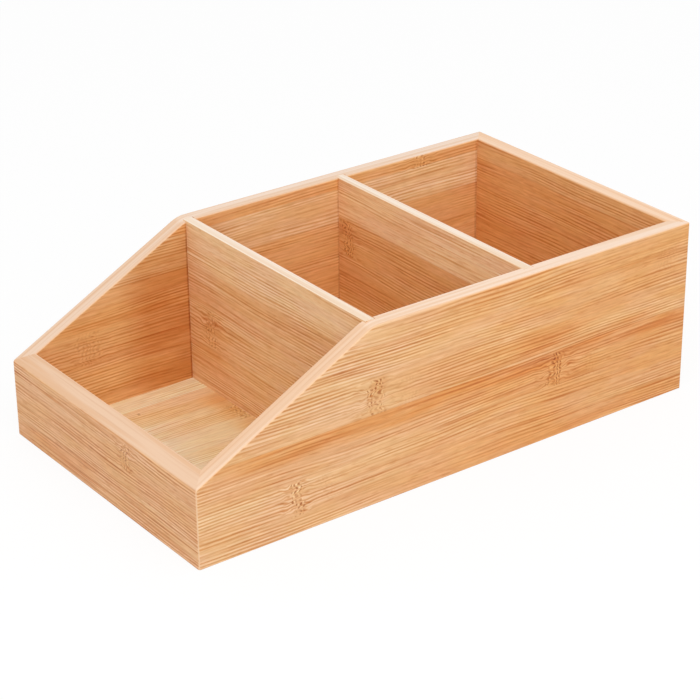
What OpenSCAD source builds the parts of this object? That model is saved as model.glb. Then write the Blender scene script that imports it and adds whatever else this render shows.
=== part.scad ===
// Open desk organizer with three compartments, glued up from flat-pressed bamboo boards.
// X is the width, Y the length with the low front wall at -Y, and Z is up.
// The origin is the middle of the underside.
// The four walls are mitred at the corners, and a loose spline is hidden in each mitre.
// The dividers stand in dados in the sides, and the bottom panel sits in a rabbet with brads.

/* [Box] */
// Outer length, from the face of the front wall to the face of the rear wall
box_l = 320; // [270:1:420]
// Outer width, across the two sides
box_w = 178; // [120:1:260]
// Outer height at the rear
box_h = 100; // [80:1:160]
// Height of the front wall's outer face
front_h = 44; // [32:1:60]

/* [Boards] */
// Thickness of the left and right side
side_t = 9.5; // [8:0.5:14]
// Thickness of the front wall
front_t = 9.5; // [8:0.5:14]
// Thickness of the rear wall
rear_t = 9.5; // [8:0.5:14]
// Thickness of the two dividers
divider_t = 6; // [4:0.5:10]
// Thickness of the bottom panel
bottom_t = 5; // [3:0.5:8]

/* [Compartments] */
// Clear length of the front compartment, which also sets where the slope of the sides ends
front_room = 96.5; // [70:0.5:120]
// Clear length of the middle compartment
middle_room = 96.5; // [60:0.5:120]

/* [Shaped edges] */
// Radius where the slope of the sides runs into their level top
slope_r = 18; // [4:1:30]
// Width of the small bevel that eases the edges of the rim
edge_ease = 0.8; // [0.3:0.1:1.5]
// Radius of the four upright outer corners
corner_r = 1.2; // [0.5:0.1:2.5]

/* [Divider joints] */
// Depth of the dados that hold the dividers
dado_depth = 3; // [1.5:0.5:4]
// Clearance on each side of a divider in its dado
dado_gap = 0.1; // [0:0.05:0.3]
// Clearance at each end of a divider in its dado
dado_end_gap = 0.2; // [0:0.05:0.5]

/* [Bottom joint] */
// Width of the rabbet that holds the bottom panel, measured from the walls' inner faces
rabbet_w = 5; // [4:0.5:6]
// Clearance round the edge of the bottom panel
panel_gap = 0.25; // [0:0.05:0.5]

/* [Corner splines] */
// Thickness of the splines
spline_t = 2.4; // [1.5:0.1:3]
// Width of the splines, half of it in each wall
spline_w = 8; // [5:0.5:9]
// Distance from the inner corner to the middle of a spline, along the mitre
spline_in = 4.8; // [4:0.1:6]
// Height of a spline's foot above the underside
spline_foot = 12; // [9:0.5:16]
// Wood left over a spline, below the wall's lowest top edge
spline_cover = 8; // [4:0.5:10]
// Clearance round a spline in its slot
spline_gap = 0.1; // [0:0.05:0.2]

/* [Brads] */
// Shank diameter of the brads that hold the bottom panel
brad_d = 1.2; // [1:0.1:1.6]
// Diameter of a brad's head
brad_head_d = 2; // [1.8:0.1:2.6]
// Thickness of a brad's head
brad_head_t = 0.6; // [0.3:0.1:1]
// Length of a brad with its head
brad_l = 16; // [12:0.5:20]
// Depth of a brad's head below the underside
brad_set = 0.3; // [0.1:0.1:0.6]
// Clearance round a brad in its hole
brad_gap = 0.05; // [0:0.01:0.1]
// Distance of the brads in the cross walls and the dividers from the middle of the box
brad_x = 50; // [20:1:52]

/* [Hidden] */
$fn = 48;

// How far a cutting shape runs past the faces that it cuts
over = 1;

half_w = box_w / 2;
half_l = box_l / 2;

// The walls' inner faces
inner_x = half_w - side_t;
inner_front_y = front_t - half_l;
inner_rear_y = half_l - rear_t;

// The front faces of the two dividers, and where the brads of each compartment stand
front_divider_y = inner_front_y + front_room;
rear_divider_y = front_divider_y + divider_t + middle_room;
room_middles = [
    inner_front_y + front_room / 2,
    front_divider_y + divider_t + middle_room / 2,
    (rear_divider_y + divider_t + inner_rear_y) / 2,
];

// The slope rises from the face of the front wall to the front divider
slope_run = front_divider_y + half_l;
slope_a = atan2(box_h - front_h, slope_run);

// Centre of the arc between the slope and the level top
arc_y = front_divider_y + slope_r * tan(slope_a / 2);
arc_z = box_h - slope_r;
// The arc stands this much over both straight runs, so that it crosses them cleanly
arc_lift = 0.01;

// Distance of the brads in the walls from the walls' inner faces
brad_in = rabbet_w / 2;

wall_colour = [0.87, 0.65, 0.44];
divider_colour = [0.83, 0.60, 0.39];
panel_colour = [0.89, 0.72, 0.50];
spline_colour = [0.80, 0.62, 0.42];
brad_colour = [0.72, 0.72, 0.74];

// Outline of the rounded box seen from above
module box_plan() {
    square([box_w - 2 * corner_r, box_l], center = true);
    square([box_w, box_l - 2 * corner_r], center = true);
    for (x = [-1, 1], y = [-1, 1])
        translate([x * (half_w - corner_r), y * (half_l - corner_r)])
            circle(r = corner_r);
}

// Side view of the box, with the slope and its arc, drawn with Y to the right and Z up
module side_view() {
    difference() {
        polygon([
            [-half_l, 0],
            [half_l, 0],
            [half_l, box_h],
            [front_divider_y, box_h],
            [-half_l, front_h],
        ]);
        // What the arc takes off the corner between the slope and the level top
        difference() {
            polygon([
                [arc_y, arc_z],
                [arc_y, box_h + over],
                [front_divider_y - over, box_h + over],
                [arc_y - (slope_r + over) * sin(slope_a), arc_z + (slope_r + over) * cos(slope_a)],
            ]);
            translate([arc_y, arc_z])
                circle(r = slope_r + arc_lift, $fn = 96);
        }
    }
}

// The space that the whole box fills, without its hollows
module box_envelope() {
    intersection() {
        linear_extrude(box_h)
            box_plan();
        rotate([90, 0, 90])
            linear_extrude(box_w, center = true)
                side_view();
    }
}

// Plans of the four mitred walls, from the outer corners to the inner corners
module side_plan(side) {
    polygon([
        [side * half_w, -half_l],
        [side * half_w, half_l],
        [side * inner_x, inner_rear_y],
        [side * inner_x, inner_front_y],
    ]);
}

module cross_plan(end, inner_y) {
    polygon([
        [-half_w, end * half_l],
        [half_w, end * half_l],
        [inner_x, inner_y],
        [-inner_x, inner_y],
    ]);
}

// Square bar whose corners reach edge_ease from its axis, which eases a square edge
module easing_section() {
    rotate(45)
        square(edge_ease * sqrt(2), center = true);
}

// Cuts for the edge of the rim that follows the level top and the slope at one X
module rim_edge_cut(x) {
    translate([x, front_divider_y - over, box_h])
        rotate([-90, 0, 0])
            linear_extrude(box_l)
                easing_section();
    translate([x, front_divider_y, box_h])
        rotate([90 + slope_a, 0, 0])
            translate([0, 0, -over])
                linear_extrude(box_l)
                    easing_section();
}

// Cut for an edge of the rim that runs across the box
module cross_edge_cut(y, z, tilt) {
    translate([0, y, z])
        rotate([tilt, 0, 0])
            rotate([0, 90, 0])
                linear_extrude(box_w + 2 * over, center = true)
                    easing_section();
}

// Rabbet that runs round under all four walls
module rabbet_cut() {
    translate([-inner_x - rabbet_w, inner_front_y - rabbet_w, -over])
        cube([
            2 * (inner_x + rabbet_w),
            inner_rear_y - inner_front_y + 2 * rabbet_w,
            bottom_t + over,
        ]);
}

// Dados for the two dividers, open at the top of the sides
module dado_cuts() {
    for (y = [front_divider_y, rear_divider_y])
        translate([-inner_x - dado_depth, y - dado_gap, bottom_t])
            cube([2 * (inner_x + dado_depth), divider_t + 2 * dado_gap, box_h]);
}

// One spline, or its slot where gap is more than 0, in the corner at x_side and y_side
module spline_shape(x_side, y_side, gap) {
    wall_t = y_side < 0 ? front_t : rear_t;
    corner_y = y_side < 0 ? inner_front_y : inner_rear_y;
    low_top = y_side < 0 ? front_h : box_h;
    mitre_a = atan2(y_side * wall_t, x_side * side_t);
    spline_h = low_top - spline_foot - spline_cover;
    translate([x_side * inner_x, corner_y, spline_foot])
        rotate(mitre_a)
            translate([spline_in - spline_t / 2 - gap, -spline_w / 2 - gap, 0])
                cube([spline_t + 2 * gap, spline_w + 2 * gap, spline_h + gap]);
}

module spline_slots() {
    for (x = [-1, 1], y = [-1, 1])
        spline_shape(x, y, spline_gap);
}

// Places of the brads: one in each side per compartment, a pair in each wall and divider
module at_brads() {
    for (x = [-1, 1], y = room_middles)
        translate([x * (inner_x + brad_in), y, 0])
            children();
    for (x = [-1, 1], y = [
        inner_front_y - brad_in,
        front_divider_y + divider_t / 2,
        rear_divider_y + divider_t / 2,
        inner_rear_y + brad_in,
    ])
        translate([x * brad_x, y, 0])
            children();
}

module brad_shape(gap) {
    translate([0, 0, brad_set])
        cylinder(h = brad_l + gap, d = brad_d + 2 * gap, $fn = 24);
    translate([0, 0, brad_set])
        cylinder(h = brad_head_t, d = brad_head_d + 2 * gap, $fn = 24);
}

// Holes for the brads, each open to the underside where its head was driven in
module brad_holes() {
    at_brads() {
        brad_shape(brad_gap);
        translate([0, 0, -over])
            cylinder(h = over + brad_set + brad_head_t / 2, d = brad_head_d + 2 * brad_gap, $fn = 24);
    }
}

// What is cut out of every wall
module wall_cuts() {
    rabbet_cut();
    spline_slots();
    brad_holes();
}

module front_wall() {
    color(wall_colour)
        difference() {
            intersection() {
                box_envelope();
                linear_extrude(box_h)
                    cross_plan(-1, inner_front_y);
            }
            wall_cuts();
            cross_edge_cut(-half_l, front_h, slope_a / 2);
            cross_edge_cut(inner_front_y, front_h + front_t * tan(slope_a), slope_a / 2);
        }
}

module rear_wall() {
    color(wall_colour)
        difference() {
            intersection() {
                box_envelope();
                linear_extrude(box_h)
                    cross_plan(1, inner_rear_y);
            }
            wall_cuts();
            cross_edge_cut(half_l, box_h, 0);
            cross_edge_cut(inner_rear_y, box_h, 0);
        }
}

// One side of the box, side is -1 for the left and 1 for the right
module side_board(side) {
    color(wall_colour)
        difference() {
            intersection() {
                box_envelope();
                linear_extrude(box_h)
                    side_plan(side);
            }
            wall_cuts();
            dado_cuts();
            rim_edge_cut(side * half_w);
            rim_edge_cut(side * inner_x);
        }
}

module left_side() {
    side_board(-1);
}

module right_side() {
    side_board(1);
}

// A divider seated in its dados and standing on the bottom panel, flush with the rim
module divider(y) {
    reach = inner_x + dado_depth - dado_end_gap;
    color(divider_colour)
        difference() {
            intersection() {
                translate([-reach, y, bottom_t])
                    cube([2 * reach, divider_t, box_h - bottom_t]);
                box_envelope();
            }
            brad_holes();
        }
}

module front_divider() {
    divider(front_divider_y);
}

module rear_divider() {
    divider(rear_divider_y);
}

module bottom_panel() {
    edge = rabbet_w - panel_gap;
    color(panel_colour)
        difference() {
            translate([-inner_x - edge, inner_front_y - edge, 0])
                cube([2 * (inner_x + edge), inner_rear_y - inner_front_y + 2 * edge, bottom_t]);
            brad_holes();
        }
}

module front_left_spline() {
    color(spline_colour)
        spline_shape(-1, -1, 0);
}

module front_right_spline() {
    color(spline_colour)
        spline_shape(1, -1, 0);
}

module rear_left_spline() {
    color(spline_colour)
        spline_shape(-1, 1, 0);
}

module rear_right_spline() {
    color(spline_colour)
        spline_shape(1, 1, 0);
}

module bottom_brads() {
    color(brad_colour)
        at_brads()
            brad_shape(0);
}

front_wall();
rear_wall();
left_side();
right_side();
front_divider();
rear_divider();
bottom_panel();
front_left_spline();
front_right_spline();
rear_left_spline();
rear_right_spline();
bottom_brads();
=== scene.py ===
import math

import bmesh
import bpy
from mathutils import Matrix, Quaternion, Vector


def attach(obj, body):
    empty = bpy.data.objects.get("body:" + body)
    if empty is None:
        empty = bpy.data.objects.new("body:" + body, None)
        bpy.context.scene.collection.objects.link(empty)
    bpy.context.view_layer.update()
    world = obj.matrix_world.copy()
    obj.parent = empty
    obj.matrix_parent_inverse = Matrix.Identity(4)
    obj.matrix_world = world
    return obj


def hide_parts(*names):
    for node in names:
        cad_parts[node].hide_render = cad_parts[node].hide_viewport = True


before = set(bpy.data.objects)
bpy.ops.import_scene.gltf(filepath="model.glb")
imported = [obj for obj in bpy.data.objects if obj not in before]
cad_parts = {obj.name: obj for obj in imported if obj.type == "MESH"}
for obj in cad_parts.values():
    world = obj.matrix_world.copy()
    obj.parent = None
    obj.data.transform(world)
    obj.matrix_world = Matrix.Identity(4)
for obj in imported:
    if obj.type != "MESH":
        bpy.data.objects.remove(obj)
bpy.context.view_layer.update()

# Sizes of the box, in millimetres, as in the part's source. ROOM is the inner length of the front compartment
# and of the middle one, and SLOPE_R the radius of the arc at the top of the slope.
MM = 0.001
BOX_L, BOX_W, BOX_H = 320.0, 178.0, 100.0
FRONT_H = 44.0
WALL_T = 9.5
DIVIDER_T = 6.0
BOTTOM_T = 5.0
ROOM = 96.5
SLOPE_R = 18.0
CORNER_R = 1.2
DADO_DEPTH = 3.0
RABBET_W, PANEL_GAP = 5.0, 0.25
SPLINE_T, SPLINE_W, SPLINE_IN = 2.4, 8.0, 4.8
SPLINE_FOOT, SPLINE_COVER, SPLINE_GAP = 12.0, 8.0, 0.1
BRAD_D, BRAD_HEAD_D, BRAD_HEAD_T = 1.2, 2.0, 0.6
BRAD_L, BRAD_SET, BRAD_GAP, BRAD_X = 16.0, 0.3, 0.05, 50.0

# The dividers are glued in, so here their dados show next to no clearance
DADO_GAP, DADO_END_GAP = 0.02, 0.02
# How wide the edges are rounded over, in millimetres, and in how many flats
RIM_EASE, RIM_FLATS = 1.1, 4
FOOT_EASE, FOOT_FLATS = 0.35, 2
DIVIDER_EASE, DIVIDER_FLATS = 0.5, 3
# How many flats an upright corner, the slope's arc and a brad hole have
CORNER_FLATS, ARC_FLATS, HOLE_FLATS = 7, 14, 24
# Rim edges longer than this run along a divider, in millimetres
LONG_EDGE = 10.0
# A face is the rim's where its normal rises over RIM_RISE, the foot's where it rises less than FOOT_RISE, and
# upright where it neither rises nor sinks more than UPRIGHT_RISE
RIM_RISE, FOOT_RISE, UPRIGHT_RISE = 0.6, -0.9, 0.2
# Edges that turn more than this, in degrees, stay sharp
SHARP_TURN = 32
# How strongly the normals at a corner follow its largest face, of 100
LARGE_FACE_WEIGHT = 100
# How far a cutting tool runs past a board, in millimetres
OVER = 1.0
# How near to a saw cut a point counts as on it, in metres
ON_CUT = 1e-8

HALF_W, HALF_L = BOX_W / 2, BOX_L / 2
INNER_X, INNER_Y = HALF_W - WALL_T, HALF_L - WALL_T
WALL_MIDDLE_X, WALL_MIDDLE_Y = HALF_W - WALL_T / 2, HALF_L - WALL_T / 2
FRONT_DIVIDER_Y = -INNER_Y + ROOM
REAR_DIVIDER_Y = FRONT_DIVIDER_Y + DIVIDER_T + ROOM
FRONT_DIVIDER_MIDDLE_Y = FRONT_DIVIDER_Y + DIVIDER_T / 2
REAR_DIVIDER_MIDDLE_Y = REAR_DIVIDER_Y + DIVIDER_T / 2
SLOPE_A = math.atan2(BOX_H - FRONT_H, FRONT_DIVIDER_Y + HALF_L)
ARC_Y = FRONT_DIVIDER_Y + SLOPE_R * math.tan(SLOPE_A / 2)
ARC_Z = BOX_H - SLOPE_R
FRONT_INNER_H = FRONT_H + WALL_T * math.tan(SLOPE_A)


# Shapes of the boards

def prism(outline, axis, low, high):
    """A straight prism from low to high along an axis, of an outline drawn in the other two."""
    def spot(level, point):
        values = list(point)
        values.insert("XYZ".index(axis), level)
        return Vector(values) * MM

    shape = bmesh.new()
    ends = [[shape.verts.new(spot(level, point)) for point in outline] for level in (low, high)]
    shape.faces.new(ends[0])
    shape.faces.new(reversed(ends[1]))
    for here in range(len(outline)):
        there = (here + 1) % len(outline)
        shape.faces.new((ends[0][here], ends[1][here], ends[1][there], ends[0][there]))
    bmesh.ops.recalc_face_normals(shape, faces=shape.faces)
    return shape


def rectangle(low, high):
    """Outline of a rectangle between two corners."""
    return [(low[0], low[1]), (high[0], low[1]), (high[0], high[1]), (low[0], high[1])]


def saw(shape, point, away):
    """Saws off what lies beyond the plane through a point, closes the cut, and returns its new face."""
    every = shape.verts[:] + shape.edges[:] + shape.faces[:]
    cut = bmesh.ops.bisect_plane(
        shape, geom=every, dist=ON_CUT, plane_co=Vector(point) * MM, plane_no=Vector(away), clear_outer=True,
    )
    rim = [part for part in cut["geom_cut"] if isinstance(part, bmesh.types.BMEdge)]
    made = bmesh.ops.contextual_create(shape, geom=rim)["faces"]
    bmesh.ops.recalc_face_normals(shape, faces=shape.faces)
    return made


def mitre(shape, side, end, lie):
    """Saws a wall's end at 45 degrees in the corner of the box at side and end. lie is "side" or "cross"."""
    sign = -1 if lie == "side" else 1
    away = Vector((side * sign, end * -sign, 0))
    for face in saw(shape, (side * HALF_W, end * HALF_L, 0), away):
        face[shape.faces.layers.int["joint"]] = 1


def round_corner(shape, side, end):
    """Rounds the upright outer corner of the box at side and end, flat by small flat."""
    centre = Vector((side * (HALF_W - CORNER_R), end * (HALF_L - CORNER_R), 0))
    for flat in range(CORNER_FLATS):
        turn = math.radians(90 * (flat + 0.5) / CORNER_FLATS)
        away = Vector((side * math.cos(turn), end * math.sin(turn), 0))
        saw(shape, centre + away * CORNER_R, away)


def ease(shape, wanted, width, flats):
    """Rounds over the edges for which wanted(edge) is true, apart from those of the mitres."""
    joint = shape.faces.layers.int["joint"]
    shape.normal_update()
    edges = [
        edge for edge in shape.edges
        if len(edge.link_faces) == 2 and not any(face[joint] for face in edge.link_faces) and wanted(edge)
    ]
    bmesh.ops.bevel(
        shape, geom=edges, offset=width * MM, offset_type="OFFSET", segments=flats, profile=0.5,
        affect="EDGES", clamp_overlap=False, loop_slide=True,
    )


def rim_edge(edge):
    """Whether an edge lies between the top of a board and one of its faces."""
    low, high = sorted(face.normal.z for face in edge.link_faces)
    return high > RIM_RISE and low < UPRIGHT_RISE


def long_rim_edge(edge):
    """Whether an edge of a divider's top runs along the divider."""
    return rim_edge(edge) and edge.calc_length() > LONG_EDGE * MM


def foot_edge(edge):
    """Whether an edge lies between the underside and a face of the board."""
    low, high = sorted(face.normal.z for face in edge.link_faces)
    return low < FOOT_RISE and abs(high) < UPRIGHT_RISE


def side_outline():
    """Side view of the box with its slope and the arc at the top of it, Y by Z."""
    points = [(-HALF_L, 0), (HALF_L, 0), (HALF_L, BOX_H)]
    for flat in range(ARC_FLATS + 1):
        turn = SLOPE_A * flat / ARC_FLATS
        points.append((ARC_Y - SLOPE_R * math.sin(turn), ARC_Z + SLOPE_R * math.cos(turn)))
    return points + [(-HALF_L, FRONT_H)]


def work_wall(shape, corners, lie):
    """Rounds and mitres a wall at its corners of the box, and eases its rim and its foot."""
    shape.faces.layers.int.new("joint")
    for side, end in corners:
        round_corner(shape, side, end)
        mitre(shape, side, end, lie)
    ease(shape, rim_edge, RIM_EASE, RIM_FLATS)
    ease(shape, foot_edge, FOOT_EASE, FOOT_FLATS)
    return shape


def side_board(side):
    """A long side of the box, with its slope and arc."""
    low, high = sorted((side * INNER_X, side * HALF_W))
    return work_wall(prism(side_outline(), "X", low, high), [(side, -1), (side, 1)], "side")


def cross_board(end):
    """The front wall, whose top follows the slope, or the rear wall."""
    outer_h, inner_h = (FRONT_H, FRONT_INNER_H) if end < 0 else (BOX_H, BOX_H)
    outer, inner = end * HALF_L, end * INNER_Y
    outline = [(outer, 0), (inner, 0), (inner, inner_h), (outer, outer_h)]
    return work_wall(prism(outline, "X", -HALF_W, HALF_W), [(-1, end), (1, end)], "cross")


def divider_board(front_y):
    """A divider, from the bottom panel to the rim, with its ends in the dados."""
    reach = INNER_X + DADO_DEPTH - DADO_END_GAP
    outline = rectangle((front_y, BOTTOM_T), (front_y + DIVIDER_T, BOX_H))
    shape = prism(outline, "X", -reach, reach)
    shape.faces.layers.int.new("joint")
    ease(shape, long_rim_edge, DIVIDER_EASE, DIVIDER_FLATS)
    return shape


def panel_board():
    """The bottom panel, a clearance smaller than its rabbet."""
    reach = Vector((INNER_X + RABBET_W - PANEL_GAP, INNER_Y + RABBET_W - PANEL_GAP))
    return prism(rectangle(-reach, reach), "Z", 0, BOTTOM_T)


# What is cut out of the boards

def piece(name, shape):
    """A scene object of a finished shape."""
    mesh = bpy.data.meshes.new(name)
    shape.to_mesh(mesh)
    shape.free()
    made = bpy.data.objects.new(name, mesh)
    bpy.context.scene.collection.objects.link(made)
    return made


def rabbet_tool():
    """The space of the rabbet that runs round under the walls."""
    reach = Vector((INNER_X + RABBET_W, INNER_Y + RABBET_W))
    return piece("rabbet_tool", prism(rectangle(-reach, reach), "Z", -OVER, BOTTOM_T))


def dado_tools():
    """The spaces of the two dados, across both sides and open at the top."""
    reach = INNER_X + DADO_DEPTH
    tools = []
    for number, front_y in enumerate((FRONT_DIVIDER_Y, REAR_DIVIDER_Y)):
        outline = rectangle((-reach, front_y - DADO_GAP), (reach, front_y + DIVIDER_T + DADO_GAP))
        tools.append(piece(f"dado_tool_{number}", prism(outline, "Z", BOTTOM_T - DADO_GAP, BOX_H + OVER)))
    return tools


def spline_tools():
    """The slots of the four hidden splines, upright in the mitres."""
    half_t, half_w = SPLINE_T / 2 + SPLINE_GAP, SPLINE_W / 2 + SPLINE_GAP
    outline = rectangle((SPLINE_IN - half_t, -half_w), (SPLINE_IN + half_t, half_w))
    tools = []
    for side in (-1, 1):
        for end in (-1, 1):
            top = (FRONT_H if end < 0 else BOX_H) - SPLINE_COVER + SPLINE_GAP
            shape = prism(outline, "Z", SPLINE_FOOT, top)
            turn = Matrix.Rotation(math.atan2(end, side), 4, "Z")
            place = Matrix.Translation(Vector((side * INNER_X, end * INNER_Y, 0)) * MM)
            bmesh.ops.transform(shape, matrix=place @ turn, verts=shape.verts)
            tools.append(piece(f"spline_tool_{side}_{end}", shape))
    return tools


def brad_places():
    """Where the fourteen brads stand, X by Y."""
    in_wall = RABBET_W / 2
    middles = [
        -INNER_Y + ROOM / 2,
        FRONT_DIVIDER_Y + DIVIDER_T + ROOM / 2,
        (REAR_DIVIDER_Y + DIVIDER_T + INNER_Y) / 2,
    ]
    rows = [-INNER_Y - in_wall, FRONT_DIVIDER_MIDDLE_Y, REAR_DIVIDER_MIDDLE_Y, INNER_Y + in_wall]
    sides = [(side * (INNER_X + in_wall), y) for side in (-1, 1) for y in middles]
    return sides + [(side * BRAD_X, y) for side in (-1, 1) for y in rows]


def brad_tool():
    """The holes of all brads: a wide mouth for the head and a bore for the shank."""
    shape = bmesh.new()
    bore, mouth = BRAD_D / 2 + BRAD_GAP, BRAD_HEAD_D / 2 + BRAD_GAP
    mouth_top = BRAD_SET + BRAD_HEAD_T
    profile = [(mouth, -OVER), (mouth, mouth_top), (bore, mouth_top), (bore, BRAD_SET + BRAD_L + BRAD_GAP)]
    turns = [2 * math.pi * flat / HOLE_FLATS for flat in range(HOLE_FLATS)]

    def ring(x, y, radius, level):
        spots = [Vector((x + radius * math.cos(turn), y + radius * math.sin(turn), level)) for turn in turns]
        return [shape.verts.new(spot * MM) for spot in spots]

    for x, y in brad_places():
        rings = [ring(x, y, radius, level) for radius, level in profile]
        for lower, upper in zip(rings, rings[1:]):
            for here in range(HOLE_FLATS):
                there = (here + 1) % HOLE_FLATS
                shape.faces.new((lower[here], lower[there], upper[there], upper[here]))
        shape.faces.new(reversed(rings[0]))
        shape.faces.new(rings[-1])
    bmesh.ops.recalc_face_normals(shape, faces=shape.faces)
    return piece("brad_tool", shape)


def cut_away(board, tools):
    """Cuts the tools' spaces out of a board for good."""
    for tool in tools:
        cut = board.modifiers.new("joinery", "BOOLEAN")
        cut.operation, cut.solver, cut.object = "DIFFERENCE", "EXACT", tool
    graph = bpy.context.evaluated_depsgraph_get()
    cut_mesh = bpy.data.meshes.new_from_object(board.evaluated_get(graph))
    board.modifiers.clear()
    board.data = cut_mesh


def finish_edges(board):
    """Shades roundings smoothly, keeps sharp edges sharp, and gives the large faces their own normals."""
    board.data.shade_smooth()
    board.data.set_sharp_from_angle(angle=math.radians(SHARP_TURN))
    weighted = board.modifiers.new("flat_faces", "WEIGHTED_NORMAL")
    weighted.keep_sharp = True
    weighted.weight = LARGE_FACE_WEIGHT


# Shader work

class Bench:
    """Lays nodes in one node tree and joins them."""

    # Where a colour mix node keeps its share and two colours, and its result
    MIX_INPUTS, MIX_RESULT = (0, 6, 7), 2

    def __init__(self, tree):
        self.tree = tree

    def node(self, kind, **settings):
        """A new node with its settings."""
        made = self.tree.nodes.new(kind)
        for name, value in settings.items():
            setattr(made, name, value)
        return made

    def feed(self, socket, value):
        """Links an output to a socket, or sets a plain value on it."""
        if isinstance(value, bpy.types.NodeSocket):
            self.tree.links.new(value, socket)
        elif socket.type == "RGBA" and len(value) == 3:
            socket.default_value = (*value, 1.0)
        else:
            socket.default_value = value

    def filled(self, made, values):
        """The first output of a node, with its inputs fed in their order."""
        for socket, value in zip(made.inputs, values):
            self.feed(socket, value)
        return made.outputs[0]

    def math(self, operation, *values, clamp=False):
        """The result of an operation on numbers."""
        return self.filled(self.node("ShaderNodeMath", operation=operation, use_clamp=clamp), values)

    def product(self, first, *others):
        """All values multiplied together."""
        for other in others:
            first = self.math("MULTIPLY", first, other)
        return first

    def vector(self, operation, *values):
        """The result of an operation on vectors."""
        return self.filled(self.node("ShaderNodeVectorMath", operation=operation), values)

    def join(self, x, y, z):
        """A vector made of three numbers."""
        return self.filled(self.node("ShaderNodeCombineXYZ"), (x, y, z))

    def split(self, vector):
        """The three numbers of a vector."""
        made = self.node("ShaderNodeSeparateXYZ")
        self.feed(made.inputs[0], vector)
        return made.outputs

    def noise(self, place, detail=1.0):
        """Plain noise, one cell per unit."""
        made = self.node("ShaderNodeTexNoise", noise_dimensions="3D")
        for name, value in (("Vector", place), ("Scale", 1.0), ("Detail", detail), ("Roughness", 0.5)):
            self.feed(made.inputs[name], value)
        return made.outputs["Fac"]

    def layer(self, place, rate, detail=1.0):
        """Noise with its own number of cells per metre along each axis."""
        return self.noise(self.vector("MULTIPLY", place, rate), detail)

    def wobble(self, place, rate, detail=1.0):
        """A layer of noise round zero."""
        return self.math("SUBTRACT", self.layer(place, rate, detail), 0.5)

    def fade(self, value, start, stop, low=0.0, high=1.0, shape="SMOOTHSTEP"):
        """A smooth step from low to high while a value goes from start to stop."""
        made = self.node("ShaderNodeMapRange", interpolation_type=shape)
        names = ("Value", "From Min", "From Max", "To Min", "To Max")
        for name, given in zip(names, (value, start, stop, low, high)):
            self.feed(made.inputs[name], given)
        return made.outputs["Result"]

    def mix(self, share, first, second, blend="MIX"):
        """Two colours mixed by a share of the second."""
        made = self.node("ShaderNodeMix", data_type="RGBA", blend_type=blend)
        for number, value in zip(self.MIX_INPUTS, (share, first, second)):
            self.feed(made.inputs[number], value)
        return made.outputs[self.MIX_RESULT]

    def tinted(self, share, colour, tint):
        """A colour multiplied by a tint, as far as a share says."""
        return self.mix(share, colour, tint, "MULTIPLY")

    def group(self, name, **inputs):
        """The outputs of a node group with its inputs fed."""
        made = self.node("ShaderNodeGroup", node_tree=bpy.data.node_groups[name])
        for label, value in inputs.items():
            self.feed(made.inputs[label.replace("_", " ")], value)
        return made.outputs


def largest_of(bench, masks):
    """The largest of several masks."""
    largest, *others = masks
    for other in others:
        largest = bench.math("MAXIMUM", largest, other)
    return largest


NUMBER, VECTOR = "NodeSocketFloat", "NodeSocketVector"
MARK_INPUTS = [("Place", VECTOR), ("Centre", VECTOR)]
MARK_INPUTS += [(name, NUMBER) for name in ("Half Length", "Half Width", "Strength")]


def new_group(name, inputs, outputs):
    """An empty shader node group, whose outputs are numbers: its bench, its inputs and its outputs."""
    tree = bpy.data.node_groups.new(name, "ShaderNodeTree")
    for label, kind in inputs:
        tree.interface.new_socket(label, in_out="INPUT", socket_type=kind)
    for label in outputs:
        tree.interface.new_socket(label, in_out="OUTPUT", socket_type=NUMBER)
    bench = Bench(tree)
    return bench, bench.node("NodeGroupInput").outputs, bench.node("NodeGroupOutput").inputs


# In the groups below, a RATE is cells of noise per metre along the strips, across them and into the board. A
# FADE gives the values between which something comes in, then its lowest and highest amount, if not 0 and 1.

WANDER_RATE, RIPPLE_RATE = (9, 30, 30), (120, 210, 210)
CROWD_RATE, SOFT_RATE = (9, 150, 150), (15, 640, 640)
LINE_RATE, LINE_FADE = (14, 105, 105), (0.42, 0.60, 0.22, 1.1)
CLUSTER_RATE, CLUSTER_FADE = (9, 110, 110), (0.42, 0.60, 0.25, 1.0)
VEIN_RATE, VEIN_FADE = (8, 700, 560), (0.56, 0.64)
DASH_RATE, DASH_FADE = (130, 900, 800), (0.58, 0.70)
FIBRE_RATE, MOTTLE_RATE = (140, 2600, 2200), (110, 640, 600)
CLOUD_RATE, BLUSH_RATE = (8, 75, 60), (30, 95, 95)
# How far a board's seed moves it through the noise, in metres
SEED_SHIFT = (1.73, 0.91, 0.37)
# How far the fibres wander, and how far they bend round a knuckle, in metres
WANDER, RIPPLE = 0.0038, 0.0045
# Distance between the even lines, in metres, how much noise crowds them, and how they slant into the board
LINE_PITCH, CROWDING, LINE_SLANT = 0.0018, 10.0, 0.8
# Strength of the even lines and of the soft ones, and how much the soft ones keep where the even ones fade
EVEN_LINES, SOFT_LINES = 0.85, 3.0
SOFT_KEPT, SOFT_FADING = 0.5, 0.55


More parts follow.
